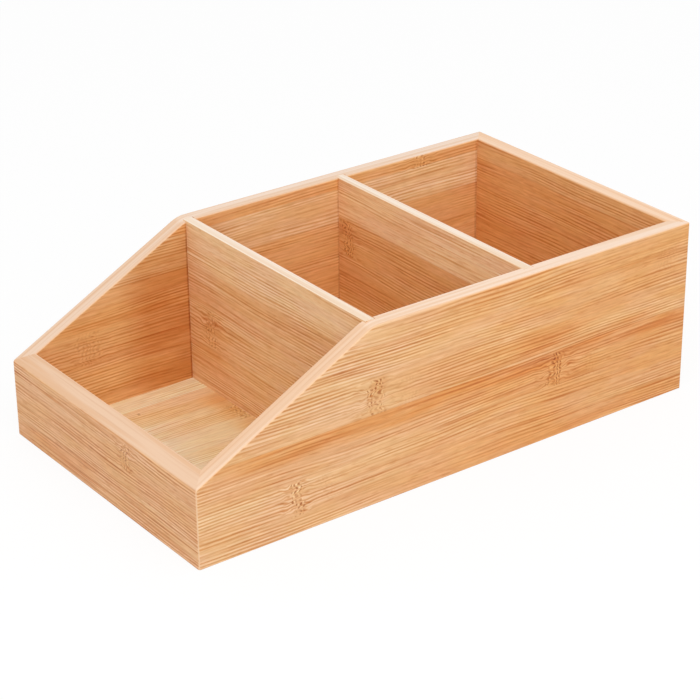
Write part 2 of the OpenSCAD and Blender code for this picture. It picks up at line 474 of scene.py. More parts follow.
def make_bamboo_fibre():
    """Fibres, veins and clouds of flat-pressed bamboo, for a place along, across and into the board."""
    bench, given, out = new_group(
        "bamboo_fibre", [("Place", VECTOR), ("Swirl", NUMBER), ("Seed", NUMBER)],
        ["Line", "Vein", "Dash", "Fibre", "Mottle", "Cloud", "Blush"],
    )
    seed = given["Seed"]
    shift = bench.vector("MULTIPLY", bench.join(seed, seed, seed), SEED_SHIFT)
    place = bench.vector("ADD", given["Place"], shift)
    # The fibres wander a little, and much more where they run round a knuckle
    ripple = bench.product(bench.wobble(place, RIPPLE_RATE), given["Swirl"], RIPPLE)
    bend = bench.math("MULTIPLY_ADD", bench.wobble(place, WANDER_RATE), WANDER, ripple)
    grain = bench.vector("ADD", place, bench.join(0.0, bend, bend))

    # Even lines, which crowd, part and fade, among soft ones
    across, depth = bench.split(grain)[1:]
    crowd = bench.math("MULTIPLY", bench.layer(grain, CROWD_RATE), CROWDING)
    run = bench.math("MULTIPLY_ADD", depth, LINE_SLANT, across)
    run = bench.math("MULTIPLY_ADD", run, 2 * math.pi / LINE_PITCH, crowd)
    shown = bench.fade(bench.layer(grain, LINE_RATE), *LINE_FADE)
    even = bench.product(bench.math("SINE", run), shown, EVEN_LINES)
    soft = bench.math("MULTIPLY", bench.wobble(grain, SOFT_RATE, 2.0), SOFT_LINES)
    soft = bench.math("MULTIPLY", soft, bench.math("MULTIPLY_ADD", shown, SOFT_FADING, SOFT_KEPT))
    bench.feed(out["Line"], bench.math("ADD", even, soft))

    cluster = bench.fade(bench.layer(grain, CLUSTER_RATE), *CLUSTER_FADE)
    vein = bench.fade(bench.layer(grain, VEIN_RATE), *VEIN_FADE)
    bench.feed(out["Vein"], bench.math("MULTIPLY", vein, cluster))
    bench.feed(out["Dash"], bench.fade(bench.layer(grain, DASH_RATE), *DASH_FADE))
    bench.feed(out["Fibre"], bench.layer(grain, FIBRE_RATE))
    bench.feed(out["Mottle"], bench.layer(grain, MOTTLE_RATE))
    bench.feed(out["Cloud"], bench.layer(grain, CLOUD_RATE, 2.0))
    bench.feed(out["Blush"], bench.layer(grain, BLUSH_RATE))


# From a glue joint to each side, where its dark line ends and up to where it is full, in metres
GLUE_LINE_FADE = (0.00045, 0.00008)


def make_strip_layout():
    """The glued strips of a board: the place on their ramp of colours, their numbers and the glue lines."""
    bench, given, out = new_group(
        "strip_layout", [(name, NUMBER) for name in ("Across", "First Joint", "Strip Width", "Strips")],
        ["Run", "Number", "Glue Line"],
    )
    count = bench.math("SUBTRACT", given["Across"], given["First Joint"])
    count = bench.math("DIVIDE", count, given["Strip Width"])
    bench.feed(out["Run"], bench.math("DIVIDE", bench.math("ADD", count, 1.0), given["Strips"]))
    bench.feed(out["Number"], bench.math("FLOOR", count))
    from_joint = bench.math("MULTIPLY", bench.math("PINGPONG", count, 0.5), given["Strip Width"])
    bench.feed(out["Glue Line"], bench.fade(from_joint, *GLUE_LINE_FADE))


KNUCKLE_EDGE_RATE, KNUCKLE_LEAN_RATE = (150, 420, 420), (20, 110, 110)
# How far a knuckle leans, and how ragged its ends and its sides are, in metres
KNUCKLE_LEAN, KNUCKLE_END, KNUCKLE_SIDE = 0.009, 0.009, 0.0016
# Where its band ends and where it is full, and how far the fibres run wavy, in half lengths
BAND_EDGE, BAND_CORE, SWIRL_REACH = 1.2, 0.55, 4.5
# Up to where it is full across the strip, in half widths
BAND_SIDE = 0.86


def make_knuckle():
    """The mark of one bamboo joint in one strip: its band, and the wider zone where the fibres run wavy."""
    bench, given, out = new_group("knuckle", MARK_INPUTS, ["Band", "Swirl"])
    place, half_length, half_width = given["Place"], given["Half Length"], given["Half Width"]
    offset = bench.split(bench.vector("SUBTRACT", place, given["Centre"]))
    ragged = bench.wobble(place, KNUCKLE_EDGE_RATE, 2.0)
    leaning = bench.wobble(place, KNUCKLE_LEAN_RATE, 0.0)
    shifted = bench.math("MULTIPLY_ADD", leaning, KNUCKLE_LEAN, offset[0])
    along = bench.math("MULTIPLY_ADD", ragged, KNUCKLE_END, bench.math("ABSOLUTE", shifted))
    across = bench.math("MULTIPLY_ADD", ragged, KNUCKLE_SIDE, bench.math("ABSOLUTE", offset[1]))
    within = bench.fade(across, half_width, bench.math("MULTIPLY", half_width, BAND_SIDE))
    parts = (BAND_EDGE, BAND_CORE, SWIRL_REACH)
    edge, core, reach = (bench.math("MULTIPLY", half_length, part) for part in parts)
    bench.feed(out["Band"], bench.product(bench.fade(along, edge, core), within, given["Strength"]))
    bench.feed(out["Swirl"], bench.product(bench.fade(along, reach, 0.0), within, given["Strength"]))


ZIGZAG_RATE, RIDGE_RATE, DOT_RATE = (90, 160, 160), (190, 170, 170), (150, 150, 150)
FLECK_RATE, FLECK_FADE = (160, 210, 210), (0.34, 0.54, 0.3, 1.0)
# Distance between the flecks along the strip and across it, and their zigzag's height, in metres
FLECK_LENGTH, FLECK_HEIGHT, ZIGZAG_HEIGHT = 0.0026, 0.0023, 0.00437
# How far noise moves the zigzag, the ridges and the dots, and how far the zigzag bends the ridges, in radians
ZIGZAG_DRIFT, RIDGE_DRIFT, DOT_DRIFT, ZIGZAG_BEND = 7.0, 13.0, 10.0, 1.3
# Strength of a ridge, how much its dots add and take, and where in the weave a fleck starts and is full
RIDGE_STRENGTH, DOT_STRENGTH = 0.64, 0.62
FLECK_START, FLECK_FULL = 0.08, 0.5


def make_knuckle_flecks():
    """The woven dark and light flecks of a knuckle: upright zigzag ridges, broken into dots."""
    bench, given, out = new_group("knuckle_flecks", [("Place", VECTOR), ("Band", NUMBER)], ["Dark", "Light"])
    place = given["Place"]
    along, across = bench.split(place)[:2]

    def drift(rate, size):
        return bench.math("MULTIPLY", bench.wobble(place, rate), size)

    def wave(value, length, phase):
        return bench.math("SINE", bench.math("MULTIPLY_ADD", value, 2 * math.pi / length, phase))

    zigzag = wave(across, ZIGZAG_HEIGHT, drift(ZIGZAG_RATE, ZIGZAG_DRIFT))
    bent = bench.math("MULTIPLY_ADD", zigzag, ZIGZAG_BEND, drift(RIDGE_RATE, RIDGE_DRIFT))
    ridge = wave(along, FLECK_LENGTH, bent)
    dot = wave(across, FLECK_HEIGHT, drift(DOT_RATE, DOT_DRIFT))
    weave = bench.math("MULTIPLY", ridge, bench.math("MULTIPLY_ADD", dot, DOT_STRENGTH, RIDGE_STRENGTH))
    shown = bench.fade(bench.layer(place, FLECK_RATE), *FLECK_FADE)
    shown = bench.math("MULTIPLY", shown, given["Band"])
    for name, sign in (("Dark", -1), ("Light", 1)):
        fleck = bench.fade(weave, sign * FLECK_START, sign * FLECK_FULL)
        bench.feed(out[name], bench.math("MULTIPLY", fleck, shown))


STREAK_EDGE_RATE = (14, 240, 240)
STREAK_RATE, STREAK_FADE = (22, 130, 130), (0.34, 0.58, 0.62, 1.0)
# How ragged a streak's sides are, in metres, and up to where it is full, in half lengths and half widths
STREAK_RAGGED, STREAK_CORE_LENGTH, STREAK_CORE_WIDTH = 0.004, 0.35, 0.45
# How near two numbers of strips have to be to count as the same
SAME_STRIP = 0.4


def make_streak():
    """One soft stain or bright streak along a strip, at a named place."""
    strips = [("Strip", NUMBER), ("Own Strip", NUMBER)]
    bench, given, out = new_group("streak", MARK_INPUTS + strips, ["Mark"])
    place = given["Place"]
    offset = bench.split(bench.vector("SUBTRACT", place, given["Centre"]))
    along = bench.math("DIVIDE", bench.math("ABSOLUTE", offset[0]), given["Half Length"])
    ragged = bench.wobble(place, STREAK_EDGE_RATE, 2.0)
    across = bench.math("ABSOLUTE", bench.math("MULTIPLY_ADD", ragged, STREAK_RAGGED, offset[1]))
    across = bench.math("DIVIDE", across, given["Half Width"])
    ends, sides = bench.fade(along, 1.0, STREAK_CORE_LENGTH), bench.fade(across, 1.0, STREAK_CORE_WIDTH)
    patchy = bench.fade(bench.layer(place, STREAK_RATE, 2.0), *STREAK_FADE)
    in_strip = bench.math("COMPARE", given["Strip"], given["Own Strip"], SAME_STRIP)
    bench.feed(out["Mark"], bench.product(ends, sides, patchy, in_strip, given["Strength"]))


# Rise of the normal from which a face is the rim's, and down to which it slopes, and turn of a rounded corner
RIM_FADE, SLOPE_FADE, CORNER_FADE = (0.42, 0.82), (0.97, 0.9), (0.02, 0.2)


def make_edge_grain_and_light():
    """Where a board faces up, where it slopes and where its corners are rounded over, from its normal. They
    lay the rims' colour, partly painted light, and the corners' painted highlight.
    """
    bench, given, out = new_group("edge_grain_and_light", [("Normal", VECTOR)], ["Rim", "Slope", "Corner"])
    parts = bench.split(given["Normal"])
    bench.feed(out["Rim"], bench.fade(parts["Z"], *RIM_FADE, shape="LINEAR"))
    bench.feed(out["Slope"], bench.fade(parts["Z"], *SLOPE_FADE))
    largest = largest_of(bench, [bench.math("ABSOLUTE", part) for part in parts])
    bench.feed(out["Corner"], bench.fade(bench.math("SUBTRACT", 1.0, largest), *CORNER_FADE))


# Cells of noise per metre along the rim and through the board
PLY_RATE, PLY_FADE = (4, 270), (0.44, 0.56)
PLY_LINE_RATE, PLY_LINE_FADE = (22, 90), (0.42, 0.56)
RIM_FIBRE_RATE, RIM_FIBRE_FADE, RIM_FIBRE_SHARE = (16, 1000), (0.52, 0.70), 0.4
PLY_WAVE_RATE = (40, 60)
# How far a board's seed moves its rim through the noise, in cells
RIM_SEED_SHIFT = 0.37
# How far the plies' glue joints lie from the middle of the board and how far they wave, in metres
PLY_JOINT, PLY_WAVE = 0.00155, 0.0009
# From such a joint to each side, where its line ends and up to where it is full, in metres
PLY_JOINT_FADE = (0.0005, 0.0001)


def make_rim_layers():
    """The plies of a board where its sawn edge shows: bands of two tones with thin lines along them."""
    names = ("Along", "Depth", "Middle", "Seed")
    bench, given, out = new_group("rim_layers", [(name, NUMBER) for name in names], ["Ply", "Line"])
    start = bench.math("MULTIPLY", given["Seed"], RIM_SEED_SHIFT)

    def sawn(rate):
        along = bench.math("MULTIPLY_ADD", given["Along"], rate[0], start)
        return bench.noise(bench.join(along, start, bench.math("MULTIPLY", given["Depth"], rate[1])))

    bench.feed(out["Ply"], bench.fade(sawn(PLY_RATE), *PLY_FADE))
    off = bench.math("ABSOLUTE", bench.math("SUBTRACT", given["Depth"], given["Middle"]))
    wavy = bench.math("MULTIPLY_ADD", bench.math("SUBTRACT", sawn(PLY_WAVE_RATE), 0.5), PLY_WAVE, off)
    from_joint = bench.math("ABSOLUTE", bench.math("SUBTRACT", wavy, PLY_JOINT))
    shown = bench.fade(sawn(PLY_LINE_RATE), *PLY_LINE_FADE)
    joint = bench.math("MULTIPLY", bench.fade(from_joint, *PLY_JOINT_FADE), shown)
    fibre = bench.math("MULTIPLY", bench.fade(sawn(RIM_FIBRE_RATE), *RIM_FIBRE_FADE), RIM_FIBRE_SHARE)
    bench.feed(out["Line"], bench.math("MAXIMUM", joint, fibre))


for make_group in (make_bamboo_fibre, make_strip_layout, make_knuckle, make_knuckle_flecks, make_streak,
                   make_edge_grain_and_light, make_rim_layers):
    make_group()


# Finishes of the boards

# Colours of single strips
STRAW = (0.87, 0.55, 0.285)
HONEY = (0.85, 0.475, 0.205)
AMBER = (0.84, 0.44, 0.175)
TAN = (0.855, 0.515, 0.265)
FAWN = (0.86, 0.53, 0.278)
RUST = (0.83, 0.41, 0.152)
OAT = (0.91, 0.60, 0.335)
ROSE = (0.85, 0.468, 0.222)
SAND = (0.87, 0.66, 0.39)
PALE_SAND = (0.93, 0.82, 0.55)
OCHRE = (0.87, 0.62, 0.345)
BEIGE = (0.88, 0.715, 0.46)
PEACH = (0.95, 0.63, 0.355)

# Tints, which multiply the colour under them, and where in its noise the second of two tints comes in
SHADE_TINT, GLOW_TINT, CLOUD_FADE = (0.975, 0.93, 0.87), (1.01, 1.03, 1.05), (0.38, 0.64)
GOLD_TINT, BLUSH_TINT, BLUSH_FADE = (1.0, 1.0, 0.95), (1.0, 0.985, 1.02), (0.36, 0.64)
# Of these tints, the one for the wide shading of the left wall's front part is painted shade, the one for the
# thin dark lines in its inner corners is painted shadow, and the one for the bright marks near the tops of
# inner faces is painted light.
# The dark, warm and pale tints give real tones of the strips, and on a few faces painted shade and painted
# light as well.
MARK_TINTS = {
    "stains": (0.92, 0.70, 0.46), "warm": (0.97, 0.79, 0.54), "pale": (1.03, 1.20, 1.42),
    "dark": (0.80, 0.57, 0.36), "painted_shade": (0.84, 0.83, 0.80), "knots": (0.40, 0.25, 0.15),
    "painted_joint_shadow": (0.58, 0.38, 0.24), "painted_light": (1.09, 1.22, 1.36),
}
KNUCKLE_TINT = (0.93, 0.82, 0.66)
LINE_DARK, LINE_LIGHT = (0.79, 0.60, 0.40), (1.08, 1.19, 1.36)
DASH_TINT = (0.80, 0.58, 0.38)
VEIN_TINT = (0.76, 0.50, 0.27)
FLECK_DARK, FLECK_LIGHT = (0.50, 0.26, 0.12), (1.15, 1.42, 1.65)
GLUE_TINT = (0.80, 0.66, 0.50)
SLOPE_TINT = (0.955, 0.89, 0.82)
RIM_PLY_TINT = (0.945, 0.86, 0.76)
RIM_LINE_TINT = (0.84, 0.70, 0.57)
# How much the fine mottle changes red, green and blue
MOTTLE_SIZE = (0.22, 0.29, 0.42)

# Colours of the sawn rims, pale partly from the sawn edge's own tone and partly as painted light from above,
# and the painted highlight of the rounded corners
FRONT_RIM = (0.88, 0.64, 0.47)
REAR_RIM = (0.94, 0.66, 0.46)
LEFT_RIM = (0.90, 0.70, 0.56)
RIGHT_RIM = (0.93, 0.71, 0.55)
DIVIDER_RIM = (0.94, 0.79, 0.65)
CORNER_HIGHLIGHT = (0.95, 0.74, 0.53)

# How far each tint goes where its mask is full
KNUCKLE_SHARE, VEIN_SHARE, GLUE_SHARE = 0.55, 0.48, 0.3
DASH_SHARE, SWIRL_DASH_SHARE = 0.35, 0.7
FLECK_LIGHT_SHARE, FLECK_DARK_SHARE = 0.9, 0.8
RIM_LINE_SHARE, CORNER_SHARE = 0.4, 0.4
# How far a knuckle and a rounded corner hide the fine lines
KNUCKLE_QUIET, CORNER_QUIET = 0.7, 0.75

# The satin lacquer: its roughness and relief, with what each mask adds, and its thin coat
LACQUER_ROUGHNESS = 0.42
ROUGH_PARTS = {"Fibre": 0.16, "Vein": 0.10, "Band": 0.08}
RELIEF_PARTS = {"Fibre": 0.35, "Line": 0.15, "Vein": -0.5, "Dark": -0.9, "Glue": -0.6}
RELIEF_STRENGTH, RELIEF_DEPTH = 0.35, 0.00012
LACQUER_SPECULAR = 0.3
COAT_FADE, COAT_ROUGHNESS = (0.3, 0.7, 0.04, 0.10), 0.32

STEEL, DULL_STEEL = (0.66, 0.66, 0.68), (0.42, 0.40, 0.38)
STEEL_METAL, DULL_METAL = 1.0, 0.85
STEEL_ROUGHNESS, SCRATCH_ROUGHNESS = 0.22, 0.25
SCRATCH_STRENGTH, SCRATCH_DEPTH = 0.3, 0.00005
SCRATCH_RATE = (2600, 2600, 900)
DULL_RATE, DULL_FADE = (420, 420, 260), (0.42, 0.7)

# Usual width of a strip, in millimetres
STRIP_WIDTH = 20.1
# The axes of the box that run along a board's strips, across them and into the board
STRIP_AXES = {"side": "YZX", "cross": "XZY", "floor": "YXZ"}


def new_material(name):
    """A new material and the bench for its nodes."""
    material = bpy.data.materials.new(name)
    material.use_nodes = True
    return material, Bench(material.node_tree)


def emboss(bench, shader, height, strength, depth):
    """Gives a shader the relief of a height, whose full depth is in metres."""
    bump = bench.node("ShaderNodeBump")
    bump.inputs["Strength"].default_value = strength
    bump.inputs["Distance"].default_value = depth
    bench.feed(bump.inputs["Height"], height)
    bench.feed(shader.inputs["Normal"], bump.outputs["Normal"])


def added_up(bench, start, masks, weights):
    """A start value plus each mask that has a weight, times that weight."""
    for name, weight in weights.items():
        start = bench.math("MULTIPLY_ADD", masks[name], weight, start)
    return start


def strip_ramp(bench, run, strips):
    """The strips' own colours, side by side."""
    made = bench.node("ShaderNodeValToRGB")
    made.color_ramp.interpolation = "CONSTANT"
    stops = made.color_ramp.elements
    for number, colour in enumerate(strips):
        # A new ramp has two stops already
        stop = stops[number] if number < 2 else stops.new(number / len(strips))
        stop.position = number / len(strips)
        stop.color = (*colour, 1.0)
    bench.feed(made.inputs[0], run)
    return made.outputs["Color"]


def one_mark(bench, group, place, mark, **more):
    """A knuckle or streak: along, across, half length and half width in millimetres, then its strength."""
    spot, level, half_length, half_width, strength = mark
    return bench.group(
        group, Place=place, Centre=(spot * MM, level * MM, 0.0), Half_Length=half_length * MM,
        Half_Width=half_width * MM, Strength=strength, **more,
    )


def lay_face(bench, place, face, on_face, found):
    """The strips' colours and the glue lines of one face. Its knuckles and streaks are added to found."""
    first_joint, width = face["first_joint"], face.get("width", STRIP_WIDTH)
    layout = bench.group(
        "strip_layout", Across=bench.split(place)["Y"], First_Joint=first_joint * MM, Strip_Width=width * MM,
        Strips=float(len(face["strips"])),
    )
    for mark in face["knuckles"]:
        knuckle = one_mark(bench, "knuckle", place, mark)
        for name in ("Band", "Swirl"):
            found[name].append(bench.math("MULTIPLY", knuckle[name], on_face))
    for kind in MARK_TINTS:
        for mark in face.get(kind, ()):
            level, half_width = mark[1], mark[3]
            # A mark wider than two strips lies over them all, a narrower one stays in its own strip
            own = layout["Number"] if half_width > width else float(math.floor((level - first_joint) / width))
            streak = one_mark(bench, "streak", place, mark, Strip=layout["Number"], Own_Strip=own)
            found[kind].append(bench.math("MULTIPLY", streak["Mark"], on_face))
    return strip_ramp(bench, layout["Run"], face["strips"]), layout["Glue Line"]


def rim_colour(bench, place, middle, seed, rim, slope):
    """A sawn rim: plies of two tones with thin lines along them, a little darker where it slopes."""
    along, _, depth = bench.split(place)
    layers = bench.group("rim_layers", Along=along, Depth=depth, Middle=middle * MM, Seed=float(seed))
    colour = bench.tinted(layers["Ply"], rim, RIM_PLY_TINT)
    colour = bench.tinted(bench.product(layers["Line"], RIM_LINE_SHARE), colour, RIM_LINE_TINT)
    return bench.tinted(slope, colour, SLOPE_TINT)


def bamboo(name, seed, lie, faces, middle=0.0, rim=None, boldness=1.0):
    """Bamboo board in clear satin lacquer.

    lie tells how the strips lie, and faces gives the strips, knuckles and streaks of the two faces, the one
    with the lower depth first. middle is the depth where they meet, in millimetres. rim is the colour of the
    sawn rim, and boldness says how strongly the lines, dashes and veins show.
    """
    material, bench = new_material(name)
    shader = bench.tree.nodes["Principled BSDF"]
    where = bench.node("ShaderNodeTexCoord")
    axes = bench.split(where.outputs["Object"])
    place = bench.join(*(axes[axis] for axis in STRIP_AXES[lie]))
    second = bench.math("GREATER_THAN", bench.split(place)["Z"], middle * MM)
    on_faces = (bench.math("SUBTRACT", 1.0, second), second)
    found = {kind: [] for kind in ("Band", "Swirl", *MARK_TINTS)}
    laid = [lay_face(bench, place, face, on_face, found) for face, on_face in zip(faces, on_faces)]
    colour, glue = (bench.mix(second, *pair) for pair in zip(*laid))
    masks = {kind: largest_of(bench, marks) for kind, marks in found.items() if marks}
    masks["Glue"] = glue
    masks.update(bench.group("bamboo_fibre", Place=place, Swirl=masks["Swirl"], Seed=float(seed)).items())
    masks.update(bench.group("knuckle_flecks", Place=place, Band=masks["Band"]).items())
    masks.update(bench.group("edge_grain_and_light", Normal=where.outputs["Normal"]).items())

    def share(mask, size):
        return bench.math("MULTIPLY", masks[mask], size)

    clouds = bench.mix(bench.fade(masks["Cloud"], *CLOUD_FADE), SHADE_TINT, GLOW_TINT)
    blushes = bench.mix(bench.fade(masks["Blush"], *BLUSH_FADE), GOLD_TINT, BLUSH_TINT)
    quiet = bench.math("MULTIPLY_ADD", masks["Band"], -KNUCKLE_QUIET * boldness, boldness)
    quiet = bench.math("MULTIPLY", quiet, bench.math("MULTIPLY_ADD", masks["Corner"], -CORNER_QUIET, 1.0))
    line = share("Line", quiet)
    dashes = bench.math("MULTIPLY_ADD", masks["Swirl"], SWIRL_DASH_SHARE, DASH_SHARE * boldness)
    mottle = bench.math("SUBTRACT", bench.math("ADD", masks["Fibre"], masks["Mottle"]), 1.0)
    mottle = bench.join(*(bench.math("MULTIPLY_ADD", mottle, size, 1.0) for size in MOTTLE_SIZE))
    tints = [
        (1.0, clouds),
        (1.0, blushes),
        *((masks[kind], tint) for kind, tint in MARK_TINTS.items() if kind in masks),
        (share("Band", KNUCKLE_SHARE), KNUCKLE_TINT),
        (bench.math("MULTIPLY", line, -1.0, clamp=True), LINE_DARK),
        (bench.math("MULTIPLY", line, 1.0, clamp=True), LINE_LIGHT),
        (share("Dash", dashes), DASH_TINT),
        (share("Vein", VEIN_SHARE * boldness), VEIN_TINT),
        (share("Light", FLECK_LIGHT_SHARE), FLECK_LIGHT),
        (share("Dark", FLECK_DARK_SHARE), FLECK_DARK),
        (share("Glue", GLUE_SHARE), GLUE_TINT),
        (1.0, mottle),
    ]
    for size, tint in tints:
        colour = bench.tinted(size, colour, tint)
    if rim:
        # The rims take their colour, partly painted light from above, and the rounded corners a painted
        # highlight
        colour = bench.mix(masks["Rim"], colour, rim_colour(bench, place, middle, seed, rim, masks["Slope"]))
        only_corner = bench.product(masks["Corner"], bench.math("SUBTRACT", 1.0, masks["Rim"]), CORNER_SHARE)
        colour = bench.mix(only_corner, colour, CORNER_HIGHLIGHT)
    bench.feed(shader.inputs["Base Color"], colour)
    bench.feed(shader.inputs["Roughness"], added_up(bench, LACQUER_ROUGHNESS, masks, ROUGH_PARTS))
    bench.feed(shader.inputs["Coat Weight"], bench.fade(masks["Cloud"], *COAT_FADE))
    shader.inputs["Specular IOR Level"].default_value = LACQUER_SPECULAR
    shader.inputs["Coat Roughness"].default_value = COAT_ROUGHNESS
    emboss(bench, shader, added_up(bench, 0.0, masks, RELIEF_PARTS), RELIEF_STRENGTH, RELIEF_DEPTH)
    return material


def brad_steel():
    """Bright drawn wire with faint scratches and a little dulling."""
    material, bench = new_material("brad_steel")
    shader = bench.tree.nodes["Principled BSDF"]
    where = bench.node("ShaderNodeTexCoord").outputs["Object"]
    scratches = bench.layer(where, SCRATCH_RATE, 3.0)
    dull = bench.fade(bench.layer(where, DULL_RATE, 2.0), *DULL_FADE)
    rough = bench.math("MULTIPLY_ADD", scratches, SCRATCH_ROUGHNESS, STEEL_ROUGHNESS)
    bench.feed(shader.inputs["Base Color"], bench.mix(dull, STEEL, DULL_STEEL))
    bench.feed(shader.inputs["Metallic"], bench.fade(dull, 0.0, 1.0, STEEL_METAL, DULL_METAL))
    bench.feed(shader.inputs["Roughness"], rough)
    emboss(bench, shader, scratches, SCRATCH_STRENGTH, SCRATCH_DEPTH)
    return material


# The two faces of each board, the one with the lower depth first: where the first glue joint lies, how wide
# the strips are and their colours, and the knuckles and streaks, all in millimetres. A knuckle or streak is
# given as (along, across, half length, half width, strength).

RIGHT_SIDE = [
    {"first_joint": 12.0, "strips": [HONEY, TAN, HONEY, AMBER, TAN, HONEY],
     "knuckles": [(-20, 42.0, 5, 10, 0.9), (120, 22.0, 5, 10, 0.9)]},
    {"first_joint": 9.9, "width": 20.6, "strips": [TAN, TAN, TAN, FAWN, FAWN, FAWN],
     "knuckles": [(-52.5, 61.0, 4.6, 10.2, 1.0), (-101.5, 19.5, 3.6, 10.2, 1.0), (67.5, 40.0, 5.5, 10.2, 1.0),
                  (-33.0, 58.0, 5.0, 8, 0.12), (-82.0, 20.0, 5.0, 8, 0.12), (92.0, 37.0, 5.0, 8, 0.12),
                  (145.0, 82.0, 8.0, 8, 0.12)],
     "stains": [(-80, 47.5, 105, 9.0, 1.0), (0, 48.0, 75, 8.0, 1.0), (80, 48.5, 120, 8.5, 1.0),
                (-115, 37, 45, 7, 0.3), (62, 56.0, 30, 12, 0.6), (95, 53.0, 60, 4.0, 0.5),
                (70, 5.0, 120, 4.0, 0.25)],
     "warm": [(105, 60, 190, 110, 0.92)], "pale": [(-75, 62, 40, 10, 0.25), (115, 13, 50, 7, 0.3)],
     "dark": [(66, 48.0, 30, 3.0, 0.6), (80, 32.0, 18, 2.2, 0.5), (-75, 45.5, 45, 2.2, 0.35),
              (-50, 68.0, 7, 4.5, 0.4)]},
]
LEFT_SIDE = [
    {"first_joint": 14.0, "strips": [HONEY, TAN, TAN, HONEY, STRAW, TAN],
     "knuckles": [(-96, 64.0, 4.5, 10, 0.9), (30, 23.0, 5, 10, 0.9), (128, 44.0, 4.5, 10, 0.9)],
     "stains": [(-20, 30, 90, 5, 0.7), (90, 70, 80, 4, 0.7)]},
    # The inner face. Its wide dark mark by the front divider and its wide mark over the front compartment are
    # painted shade; its thin dark lines where it meets the dividers and the rear wall are painted shadow; its
    # bright marks near the top of the rear part are painted light.
    {"first_joint": 12.5, "strips": [HONEY, HONEY, HONEY, HONEY, STRAW, AMBER],
     "knuckles": [(-119.0, 42.0, 9.0, 10, 0.28), (108.0, 98.0, 5.0, 6, 0.7)],
     "stains": [(-100, 54.0, 60, 5.0, 0.4)], "dark": [(-64, 45, 42, 70, 0.85)],
     "painted_shade": [(-110, 45, 110, 110, 0.6)], "painted_light": [(108, 86, 85, 15, 0.95), (108, 98, 85, 8, 0.6)],
     "painted_joint_shadow": [(-54, 50, 1.4, 70, 0.8), (48.5, 50, 1.2, 70, 0.5), (150.5, 50, 2.0, 70, 0.5)]},
]
FRONT_WALL = [
    {"first_joint": 12.0, "strips": [ROSE, ROSE, ROSE],
     "knuckles": [(24.0, 34.0, 5.0, 8, 0.7)],
     "stains": [(-40, 8.0, 50, 4.0, 0.6)], "pale": [(0, 19.0, 95, 6.0, 0.2)]},
    {"first_joint": 16.0, "strips": [TAN, HONEY, TAN],
     "knuckles": [(-30.0, 26.0, 5.0, 10, 0.9)]},
]
REAR_WALL = [
    {"first_joint": 8.0, "strips": [AMBER, RUST, RUST, RUST, RUST, HONEY],
     "knuckles": [(44.0, 36.0, 5.0, 10, 0.8)]},
    {"first_joint": 13.0, "strips": [TAN, STRAW, HONEY, TAN, STRAW, TAN],
     "knuckles": [(-38.0, 43.0, 5.0, 10, 1.0), (30.0, 83.0, 5.0, 10, 1.0)],
     "stains": [(20, 60, 60, 4, 0.7)]},
]
FRONT_DIVIDER = [
    # The front face. Its warm mark at the lower left, in the corner by the left wall and the floor, is
    # painted shade.
    {"first_joint": 8.8, "width": 22.7, "strips": [STRAW, STRAW, STRAW, TAN, OAT],
     "knuckles": [(-58.0, 42.8, 5.0, 11.3, 0.6)], "warm": [(-62, 30, 30, 26, 0.25)],
     "dark": [(-57, 47, 12, 9, 0.3), (-57, 28, 10, 3, 0.4)]},
    {"first_joint": 18.0, "strips": [HONEY, TAN, HONEY, TAN, HONEY],
     "knuckles": [(35.0, 48.0, 5.0, 10, 0.9)]},
]
REAR_DIVIDER = [
    # The front face. Its bright marks along the top are painted light.
    {"first_joint": 8.4, "width": 22.7, "strips": [HONEY, HONEY, HONEY, HONEY, PEACH],
     "knuckles": [(-71.0, 65.2, 5.0, 11.3, 0.8)], "dark": [(-73, 66, 16, 10, 0.25)],
     "painted_light": [(40, 84, 60, 12, 0.65), (0, 96, 90, 7, 0.35)]},
    {"first_joint": 20.0, "strips": [HONEY, TAN, HONEY, HONEY, TAN],
     "knuckles": [(20.0, 30.0, 5.0, 10, 0.9)]},
]
BOTTOM_PANEL = [
    {"first_joint": -74.0, "strips": [TAN, HONEY, STRAW, TAN, STRAW, TAN, HONEY, STRAW, TAN],
     "knuckles": [(-70.0, 36.0, 5.0, 10, 0.9), (60.0, -24.0, 5.0, 10, 0.9), (118.0, 16.0, 5.0, 10, 0.8)]},
    # The upper face. Its wide pale mark by the front wall is painted light, and its wide warm and dark marks
    # at the foot of the front divider are painted shade over the knuckle there.
    {"first_joint": -65.5, "strips": [PALE_SAND, OCHRE, SAND, BEIGE, SAND, SAND, BEIGE, SAND, SAND],
     "knuckles": [(-57.0, -30.0, 4.0, 10, 0.7), (20.0, 49.0, 4.5, 10, 0.6), (100.0, -12.0, 4.5, 10, 0.55)],
     "pale": [(-142, 0, 56, 80, 1.0)], "warm": [(-55, -30, 18, 34, 0.8)], "dark": [(-52, -30, 14, 34, 0.4)],
     "knots": [(-101.8, -60.2, 1.1, 0.9, 0.85)]},
]

rabbet, dados, slots, brad_holes = rabbet_tool(), dado_tools(), spline_tools(), brad_tool()
wall_tools = [rabbet, *slots, brad_holes]
side_tools = [rabbet, *dados, *slots, brad_holes]
